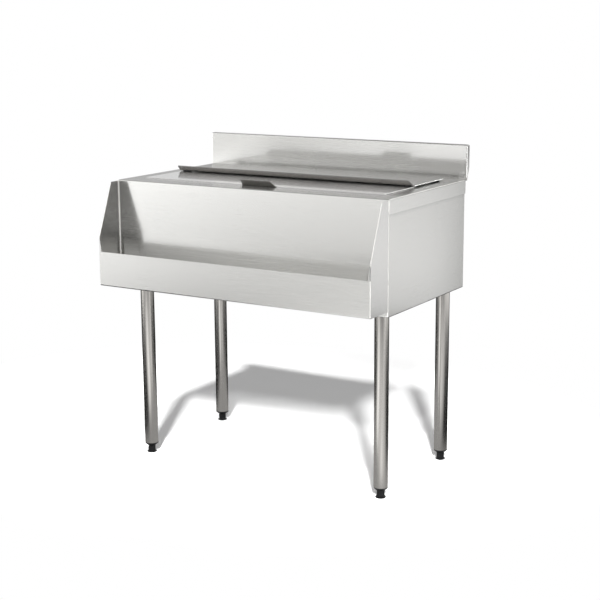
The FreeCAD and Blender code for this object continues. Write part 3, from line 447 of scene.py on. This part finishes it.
def sheet_steel(name, colour, roughness, flat_shade_share=1.0, film=0.0, glare=0.78, gloss=0.4,
                dried=0.0, rubbed_haze_and_shade=0.0, painted_skirt_shade=False):
    """Metal with a broad, hazy reflection from the grain and a thin sharp one on top. Tone and roughness
    follow the scratches, the bands and the wiping. Upright faces spread their haze across the level grain;
    flat faces spread it alike all round, and take a painted shade on their tone. A film on flat faces, and
    dried water low on upright ones, scatter their share of light. Rubbing adds haze to faces that don't look
    to the front; a painted shade darkens them lower down and lightens them upwards, and a painted shadow
    darkens the strip under the skirt."""
    material, flat_face, spot = finish_named(name)
    upright_face = spot.node("ShaderNodeBsdfPrincipled")
    across, towards_back, upwards = spot.add("ShaderNodeNewGeometry", out="Normal").numbers()
    height = spot.numbers()[2]
    scratch = scratches(spot, abs(across).rise(*FACE_TURN))
    wiped = spot.noise(5.0, 3.0, 0.55)
    shade = (scratch - 0.5) * 0.5 + (faint_bands(spot) - 0.5) * 0.3 + (wiped - 0.5) * 0.3 + 0.5
    dark, light = tint(colour, 0.94), tint(colour, 1.06)
    tone = shade.blend(dark, light)
    # Painted shade: flat faces take a darker copy of the same tone, scaled by their share.
    shaded_flat_tone = shade.blend(tint(dark[:3], flat_shade_share), tint(light[:3], flat_shade_share))
    polish = (scratch - 0.5) * 0.10 + (wiped - 0.5) * 0.06 + roughness
    if rubbed_haze_and_shade:
        inside = towards_back.rise(-0.6, 0.2)
        polish = polish + rubbed_haze_and_shade * inside
        # Painted shade: faces that don't look to the front are darker lower down and lighter upwards.
        painted_trough_shade = height.rise(*TROUGH_SHADE_HEIGHTS).blend(tint(colour, 0.8), tint(colour, 1.4))
        tone = inside.blend(tone, painted_trough_shade)
    # Painted shadow: the strip of side sheet just under the skirt is darkened towards the skirt.
    if painted_skirt_shade:
        tone = height.rise(*SKIRT_SHADE_HEIGHTS).blend(tone, tint(colour, 0.85))
    shared = {"Coat Roughness": COAT_ROUGHNESS, "Normal": scratch.bump(0.06, 0.0001)}
    spot.fill(upright_face, {
        "Base Color": tone, "Roughness": polish, "Metallic": 1.0 - dried * height.fall(*DRIED_HEIGHTS),
        "Anisotropic": GRAIN_SPREAD, "Anisotropic Rotation": QUARTER_TURN,
        "Coat Weight": 1.0, "Coat IOR": UPRIGHT_COAT_IOR, **shared})
    spot.fill(flat_face, {
        "Base Color": shaded_flat_tone, "Roughness": polish - (roughness - FLAT_ROUGHNESS),
        "Metallic": 1.0 - film, "Specular Tint": (glare, glare, glare, 1.0),
        "Coat Weight": gloss, "Coat IOR": FLAT_COAT_IOR, **shared})
    abs(upwards).rise(*FACE_TURN).mix(spot.of(upright_face), spot.of(flat_face)).show()
    return material

# The casing's flat faces carry a painted shade, a third darker than its upright faces.
casing_steel = sheet_steel("casing_steel", (0.76, 0.755, 0.73), 0.26, flat_shade_share=0.66, film=0.06,
                           glare=0.62, dried=0.17)
# The side panels carry the painted shadow under the skirt.
panel_steel = sheet_steel("panel_steel", (0.71, 0.705, 0.68), 0.26, painted_skirt_shade=True)
cheek_steel = sheet_steel("cheek_steel", (0.71, 0.703, 0.685), 0.26)
lid_steel = sheet_steel("lid_steel", (0.50, 0.49, 0.475), 0.26, film=0.04, glare=0.55)
front_lid_steel = sheet_steel("front_lid_steel", (0.80, 0.79, 0.785), 0.22, film=0.06, glare=0.85,
                              gloss=0.9)
# The trough's haze comes with a painted shade on its inner faces.
trough_steel = sheet_steel("trough_steel", (0.76, 0.755, 0.73), 0.26, rubbed_haze_and_shade=0.28)
liner_steel = sheet_steel("liner_steel", (0.76, 0.76, 0.75), 0.33)
strainer_steel = sheet_steel("strainer_steel", (0.74, 0.74, 0.73), 0.33)
print("sheet finishes", casing_steel.name, lid_steel.name, liner_steel.name)

# %% [markdown]
# The legs are welded tube, polished round, so they show the room as upright streaks of light and dark. Their
# fine grain runs round the tube. Brackets under the base stay as they came from the mill, duller and
# cloudier. Ground welds and rubbed edges are such a metal with a satin share, which catches the lamps.

# %% Tube, bracket, screw and weld
def tube_steel_finish():
    """Bright metal with thin rings of finer and coarser polish up the tube."""
    material, shader, spot = finish_named("tube_steel")
    rings = spot.stretched((40.0, 40.0, 1400.0)).noise(1.0, 2.0, 0.5)
    cloud = spot.noise(9.0, 2.0, 0.5)
    shade = (rings - 0.5) * 0.2 + (cloud - 0.5) * 0.3 + 0.5
    spot.fill(shader, {
        "Base Color": shade.blend((0.60, 0.578, 0.548, 1.0), (0.72, 0.698, 0.665, 1.0)),
        "Roughness": (rings - 0.5) * 0.05 + (cloud - 0.5) * 0.04 + 0.17, "Metallic": 1.0,
        "Anisotropic": GRAIN_SPREAD, "Anisotropic Rotation": QUARTER_TURN,
        "Normal": rings.bump(0.05, 0.0002)})
    return material

def mill_steel(name, colour, roughness, satin=0.0):
    """Dull metal, cloudy from rolling and pickling; a satin share scatters light as grinding marks do."""
    material, shader, spot = finish_named(name)
    cloud = spot.noise(38.0, 4.0, 0.6)
    pits = spot.noise(900.0, 2.0, 0.5)
    spot.fill(shader, {
        "Base Color": cloud.blend(tint(colour, 0.8), tint(colour)),
        "Roughness": (cloud - 0.5) * 0.2 + (pits - 0.5) * 0.08 + roughness, "Metallic": 1.0 - satin,
        "Normal": pits.bump(0.08, 0.0003)})
    return material

tube_steel = tube_steel_finish()
bracket_steel = mill_steel("bracket_steel", (0.66, 0.66, 0.67), 0.42)
screw_steel = mill_steel("screw_steel", (0.30, 0.30, 0.31), 0.5)
weld_steel = mill_steel("weld_steel", (0.86, 0.85, 0.82), 0.30, satin=0.35)
edge_steel = mill_steel("edge_steel", (0.93, 0.925, 0.90), 0.28, satin=0.45)
bright_edge = mill_steel("bright_edge", (0.96, 0.955, 0.94), 0.28, satin=0.8)
print("tube and rough metals", tube_steel.name, bracket_steel.name, weld_steel.name, bright_edge.name)

# %% [markdown]
# Feet and leg inserts are moulded black plastic with a fine spark-eroded skin and a few pale scuffs near the
# floor. The glides are the same black, slicker, and the drain fittings are grey-white moulded plastic. The
# gasket is black rubber with a bloom, and the foam has the closed cells of poured insulation.

# %% Plastics, rubber and foam
SCUFF_TONE = 0.45

def moulded(name, colour, roughness, pebbles=1600.0, scuff=0.0):
    """Plastic with a fine pebbled skin; scuffs lighten the places where a slow noise is high."""
    material, shader, spot = finish_named(name)
    pebble = spot.noise(pebbles, 2.0, 0.6)
    patch = spot.noise(90.0, 4.0, 0.65)
    worn = patch.rise(0.58, 0.75) * scuff
    pale = [(c + SCUFF_TONE) / 2.0 if c < SCUFF_TONE else c * 0.92 for c in colour]
    spot.fill(shader, {
        "Base Color": worn.blend(patch.blend(tint(colour, 0.85), tint(colour)), tint(pale)),
        "Roughness": (pebble - 0.5) * 0.15 + worn * 0.2 + roughness,
        "Specular IOR Level": 0.3, "Normal": pebble.bump(0.12, 0.0002)})
    return material

def poured_foam():
    """Cells of three or four millimetres: a Voronoi distance darkens the walls between them."""
    material, shader, spot = finish_named("foam")
    sockets = {"Vector": spot, "Scale": 280.0}
    wall = spot.add("ShaderNodeTexVoronoi", {"feature": "DISTANCE_TO_EDGE"}, sockets).rise(0.0, 0.12)
    stain = spot.noise(14.0, 3.0, 0.5)
    pale = stain.blend((0.80, 0.72, 0.50, 1.0), (0.88, 0.82, 0.63, 1.0))
    spot.fill(shader, {
        "Base Color": wall.blend((0.62, 0.52, 0.32, 1.0), pale),
        "Roughness": stain * 0.1 + 0.85, "Normal": wall.bump(0.3, 0.0006)})
    return material

foot_plastic = moulded("foot_plastic", (0.006, 0.006, 0.0065), 0.45, scuff=0.12)
glide_plastic = moulded("glide_plastic", (0.03, 0.03, 0.032), 0.38, pebbles=900.0)
drain_plastic = moulded("drain_plastic", (0.74, 0.74, 0.72), 0.36, pebbles=700.0)
gasket_rubber = moulded("gasket_rubber", (0.035, 0.035, 0.036), 0.7, pebbles=1200.0, scuff=0.3)
foam_finish = poured_foam()
print("moulded finishes", foot_plastic.name, glide_plastic.name, drain_plastic.name, gasket_rubber.name)

# %% [markdown]
# Each CAD node has a material slot named in the record. The finishes above carry those same names, so
# dressing a node is a matter of looking its slot up. A few sheets look different from the rest of their slot,
# and they have a finish of their own.

# %% Dress the CAD nodes
FINISHES = {
    "casing_steel": casing_steel, "liner_steel": liner_steel, "lid_steel": lid_steel,
    "bracket_steel": bracket_steel, "tube_steel": tube_steel, "screw_steel": screw_steel,
    "foot_plastic": foot_plastic, "glide_plastic": glide_plastic, "drain_plastic": drain_plastic,
    "gasket_rubber": gasket_rubber, "strainer_steel": strainer_steel, "foam": foam_finish,
}
OWN_FINISHES = {
    "trough_pan": trough_steel, "front_lid": front_lid_steel,
    "trough_cheek_left": cheek_steel, "trough_cheek_right": cheek_steel,
    "side_panel_left": panel_steel, "side_panel_right": panel_steel,
}
for entry in frame["record"]["subparts"]:
    mesh = frame["nodes"][entry["node"]].data
    mesh.materials.clear()
    mesh.materials.append(OWN_FINISHES.get(entry["node"], FINISHES[entry["material_slot"]]))

# %% [markdown]
# The sheets are joined by welds that are ground and polished after welding. A bead is a round bar laid along
# a line, with small ripples where the pool of metal set. One function sweeps such a bar along any path, so
# the seams, the hems and the rings all come from it.

# %% Round bars along a path
def ring_round(centre, radius, count):
    """Points on a level circle: centre + radius * (cos a, sin a, 0)."""
    angle = np.linspace(0.0, 2.0 * np.pi, count, endpoint=False)
    circle = np.column_stack([np.cos(angle), np.sin(angle), np.zeros(count)])
    return np.array(centre, float) + radius * circle

def round_bar(name, path, radius, ripple=0.0, pitch=1.0, loop=False, sides=12):
    """A circle carried along the path, square to it. At the distance s along the path its radius is
    radius * (1 + ripple * cos(2 pi s / pitch)). A loop joins its last circle to its first; otherwise the ends
    close on the path. Each circle turns left about the way ahead, so that all faces look outwards."""
    ahead = np.roll(path, -1, axis=0) - np.roll(path, 1, axis=0) if loop else np.gradient(path, axis=0)
    ahead /= np.linalg.norm(ahead, axis=1, keepdims=True)
    spare = np.eye(3)[np.abs(ahead).max(axis=0).argmin()]
    first = np.cross(ahead, spare)
    first /= np.linalg.norm(first, axis=1, keepdims=True)
    second = np.cross(ahead, first)
    steps = np.linalg.norm(np.diff(path, axis=0), axis=1)
    along = np.concatenate([[0.0], np.cumsum(steps)])
    reach = radius * (1.0 + ripple * np.cos(2.0 * np.pi * along / pitch))
    angle = (2.0 * np.pi * np.arange(sides) / sides)[None, :, None]
    spokes = np.cos(angle) * first[:, None, :] + np.sin(angle) * second[:, None, :]
    places = (path[:, None, :] + reach[:, None, None] * spokes).reshape(-1, 3)
    count = len(path)
    row = np.arange(count if loop else count - 1)[:, None]
    column = np.arange(sides)[None, :]
    after, beside = (row + 1) % count, (column + 1) % sides
    corners = ((row, column), (row, beside), (after, beside), (after, column))
    faces = np.stack([r * sides + c for r, c in corners], axis=-1).reshape(-1, 4).tolist()
    if not loop:
        places = np.vstack([places, path[0], path[-1]])
        start, end, last = count * sides, count * sides + 1, (count - 1) * sides
        turn = np.arange(sides)
        follow = (turn + 1) % sides
        faces += np.column_stack([np.full(sides, start), follow, turn]).tolist()
        faces += np.column_stack([np.full(sides, end), last + turn, last + follow]).tolist()
    mesh = bpy.data.meshes.new(name)
    mesh.from_pydata(places.tolist(), [], faces)
    mesh.polygons.foreach_set("use_smooth", np.ones(len(mesh.polygons), bool))
    return put(name, mesh)

def settle(piece, material, body):
    """Dresses a piece and lets it move with a body."""
    piece.data.materials.append(material)
    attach(piece, body)
    return piece.name

print("bar helper ready")

# %% [markdown]
# Where the cheek meets the side sheet, two bends leave a groove, and a polished bead fills it up to the
# skirt. The corner of the skirt, the inside corner on the apron, the end of the lip and the trough's floor
# have such beads too. Each is given by its distance in from the casing's side, its two ends as front-to-back
# place and height, and its radius. The ends are measured from the boxes of the deck and the trough.

# %% Seams of the casing
HANDS = {"left": -1.0, "right": 1.0}
BEAD_STEP = 0.0005
BEAD_RIPPLE = 0.04
BEAD_PITCH = 0.0035
SKIRT_DROP = 0.040

def corners_of(node):
    """The lowest and the highest corner of a CAD node's box, to a hundredth of a millimetre."""
    return np.round([tuple(corner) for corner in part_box(node)], 5)

def side_line(side, half, first, last):
    """The two ends of a line beside the middle plane, (side * half, y, z), to a tenth of a millimetre."""
    return np.round([(side * half, *first), (side * half, *last)], 4)

(_, apron, base), (half_width, splash, deck_top) = corners_of("top_deck")
(_, lip, pan_foot), (_, _, lip_top) = corners_of("trough_pan")
skirt_foot = deck_top - SKIRT_DROP
seams = {
    "side_seam": (0.0030, (apron, base + 0.0035), (apron, skirt_foot - 0.0004), 0.0020),
    "skirt_corner": (0.0021, (apron + 0.0015, skirt_foot + 0.0008), (apron + 0.0015, deck_top - 0.0016),
                     0.0019),
    "apron_fillet": (0.0034, (apron - 0.0022, pan_foot + 0.0050), (apron - 0.0022, deck_top - 0.0044),
                     0.0014),
    "lip_end_seam": (0.0029, (lip + 0.0018, pan_foot + 0.0040), (lip + 0.0018, lip_top - 0.0014), 0.0016),
    "floor_fillet": (0.0035, (lip + 0.0048, pan_foot + 0.0018), (apron - 0.0038, pan_foot + 0.0018),
                     0.0014),
}
made = []
for hand, side in HANDS.items():
    for name, (inset, first, last, radius) in seams.items():
        low, high = side_line(side, half_width - inset, first, last)
        path = np.linspace(low, high, int(np.linalg.norm(high - low) / BEAD_STEP))
        bead = round_bar(f"{name}_{hand}", path, radius, BEAD_RIPPLE, BEAD_PITCH)
        made.append(settle(bead, weld_steel, "chest"))
print("seams", len(made), made[:5])

# %% [markdown]
# A hem is a sheet folded flat on itself, and its fold stands out as a round nose that catches the light. The
# slanted edges of the cheeks, the ends of the backsplash and the side edges of both lids have one. The bend
# along the top of each skirt is rubbed bright in the same way. Noses on a lid move with that lid.

# %% Noses of the hems
NOSE_RADIUS = 0.0009
REAR_LID_RADIUS = 0.0017
NOSE_POINTS = 40
CHEEK_KNEE = (-0.3033, 0.6962)
CHEEK_CREST = (-0.2402, 0.8565)
REAR_LID_BEND = 0.0460

(_, lid_front, lid_foot), (lid_half, lid_back, lid_top) = corners_of("front_lid")
(_, _, rear_lid_foot), (rear_lid_half, rear_lid_back, _) = corners_of("rear_lid")
cheek_half = corners_of("trough_cheek_right")[1][0]
splash_top = corners_of("backsplash")[1][2]
bend_level = deck_top - 0.0014
lid_level = (lid_foot + lid_top) / 2.0
rear_lid_level = rear_lid_foot + 0.0006
noses = {
    "deck_bend": (half_width - 0.0014, (apron + 0.0037, bend_level), (splash - 0.0093, bend_level)),
    "cheek_nose": (cheek_half - 0.0012, CHEEK_KNEE, CHEEK_CREST),
    "front_lid_nose": (lid_half - 0.0007, (lid_front + 0.0012, lid_level), (lid_back - 0.0013, lid_level)),
    "splash_nose": (half_width - 0.0012, (splash + 0.0010, deck_top + 0.0056),
                    (splash + 0.0010, splash_top - 0.0040)),
    "rear_lid_nose": (rear_lid_half - 0.0011, (REAR_LID_BEND, rear_lid_level),
                      (rear_lid_back - 0.0013, rear_lid_level)),
}
radii = {"rear_lid_nose": REAR_LID_RADIUS}
dimmer = {"deck_bend": weld_steel, "cheek_nose": weld_steel, "front_lid_nose": edge_steel}
riding = {"front_lid_nose": ("front_cover", "lid_steel"), "rear_lid_nose": ("rear_cover", "lid_steel")}
made = []
for hand, side in HANDS.items():
    for name, (half, first, last) in noses.items():
        path = np.linspace(*side_line(side, half, first, last), NOSE_POINTS)
        nose = round_bar(f"{name}_{hand}", path, radii.get(name, NOSE_RADIUS))
        body, slot = riding.get(name, ("chest", "casing_steel"))
        made.append(settle(nose, dimmer.get(name, bright_edge), body))
print("noses", len(made), made[:3])

# %% [markdown]
# Under the base each sleeve is welded to its plate all round. The ring of weld is a bar bent into a circle.

# %% Rings round the leg sleeves
RING_LEVEL = 0.5655
RING_RADIUS = 0.0246
RING_POINTS = 160
RING_BEAD = 0.0013
RING_RIPPLE = 0.12
RING_PITCH = 0.0039
RING_SIDES = 8

made = []
for spot_name in ("front_left", "front_right", "rear_left", "rear_right"):
    low, high = (np.array(corner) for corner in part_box(f"leg_{spot_name}"))
    centre = (low + high) / 2.0
    path = ring_round((centre[0], centre[1], RING_LEVEL), RING_RADIUS, RING_POINTS)
    name = f"sleeve_weld_{spot_name}"
    bead = round_bar(name, path, RING_BEAD, RING_RIPPLE, RING_PITCH, loop=True, sides=RING_SIDES)
    made.append(settle(bead, bracket_steel, "chest"))
print("rings", made)
